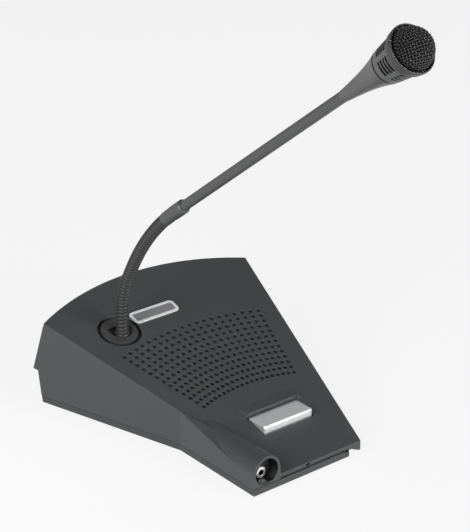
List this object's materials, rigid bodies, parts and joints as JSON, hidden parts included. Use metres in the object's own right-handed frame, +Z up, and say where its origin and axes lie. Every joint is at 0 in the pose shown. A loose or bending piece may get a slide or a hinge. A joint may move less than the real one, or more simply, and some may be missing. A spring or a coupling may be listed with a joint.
{
  "type": "paging microphone",
  "caption": "Fan-shaped desk paging station with a leaning gooseneck microphone, a loudspeaker behind a perforated top, a silver press-to-talk key and a headset socket.",
  "frame": {"origin": "middle of the footprint on the desk", "axes": "+X to the right of the person who speaks, -Y towards them, +Z up"},
  "size_m": [0.1658, 0.3115, 0.2994],
  "materials": {
    "cover_plastic": "fine textured satin",
    "base_plastic": "fine textured satin",
    "grip_rubber": "matt",
    "ballast_steel": "zinc plated",
    "screw_steel": "zinc plated",
    "board_green": "solder mask",
    "chip_black": "moulded epoxy",
    "socket_black": "moulded",
    "cloth_black": "woven",
    "speaker_steel": "plated sheet",
    "cone_paper": "pressed fibre",
    "magnet_ferrite": "sintered",
    "key_silver": "silver lacquer",
    "pin_steel": "ground",
    "switch_black": "moulded",
    "button_rubber": "moulded",
    "badge_silver": "satin",
    "badge_grey": "satin",
    "bush_silver": "plated",
    "jack_black": "moulded",
    "collar_black": "satin",
    "ferrule_metal": "blackened",
    "nut_metal": "zinc plated",
    "neck_metal": "satin black wound steel",
    "sleeve_metal": "satin black anodised",
    "tube_metal": "satin lacquer",
    "head_plastic": "satin",
    "mesh_metal": "woven wire",
    "foam_black": "open foam",
    "capsule_metal": "drawn can",
    "cup_rubber": "matt"
  },
  "bodies": {
    "base": {"top_cover": "cover_plastic", "base_shell": "base_plastic", "grip_mat": "grip_rubber", "ballast_plate": "ballast_steel", "case_screws": "screw_steel", "main_board": "board_green", "board_parts": "chip_black", "board_screws": "screw_steel", "bus_sockets": "socket_black", "grille_cloth": "cloth_black", "speaker_frame": "speaker_steel", "speaker_cone": "cone_paper", "speaker_magnet": "magnet_ferrite", "speaker_screws": "screw_steel", "key_pin": "pin_steel", "key_spring": "pin_steel", "switch_board": "board_green", "switch_screws": "screw_steel", "ptt_switch": "switch_black", "switch_button": "button_rubber", "badge_plate": "badge_silver", "badge_inlay": "badge_grey", "jack_bush": "bush_silver", "headset_jack": "jack_black", "stem_collar": "collar_black", "collar_screws": "screw_steel", "stem_ferrule": "ferrule_metal", "stem_nut": "nut_metal", "gooseneck_lower": "neck_metal"},
    "key": {"ptt_key": "key_silver"},
    "neck_mid": {"gooseneck_upper": "neck_metal"},
    "stem": {"stem_sleeve": "sleeve_metal", "stem_tube": "tube_metal", "head_cone": "head_plastic", "head_barrel": "head_plastic", "head_rim": "head_plastic", "head_mesh": "mesh_metal", "wind_foam": "foam_black", "mic_capsule": "capsule_metal", "capsule_cup": "cup_rubber"}
  },
  "joints": [
    {"name": "ptt_press", "type": "hinge", "parent": "base", "child": "key", "pos_m": [0.001, -0.05654, 0.0154], "axis": [1, 0, 0], "range_deg": [0, 7], "stiffness_Nm_per_rad": 0.15, "springref_deg": -5.73, "deforming": ["key_spring", "switch_button"]},
    {"name": "neck_pitch", "type": "hinge", "parent": "base", "child": "neck_mid", "pos_m": [-0.04, 0.0392, 0.07435], "axis": [1, 0, 0], "range_deg": [-35, 30], "deforming": ["gooseneck_lower"]},
    {"name": "neck_side", "type": "hinge", "parent": "neck_mid", "child": "stem", "pos_m": [-0.04, 0.01034, 0.12366], "axis": [0, -0.7536, -0.6574], "range_deg": [-35, 35], "deforming": ["gooseneck_upper"]}
  ]
}
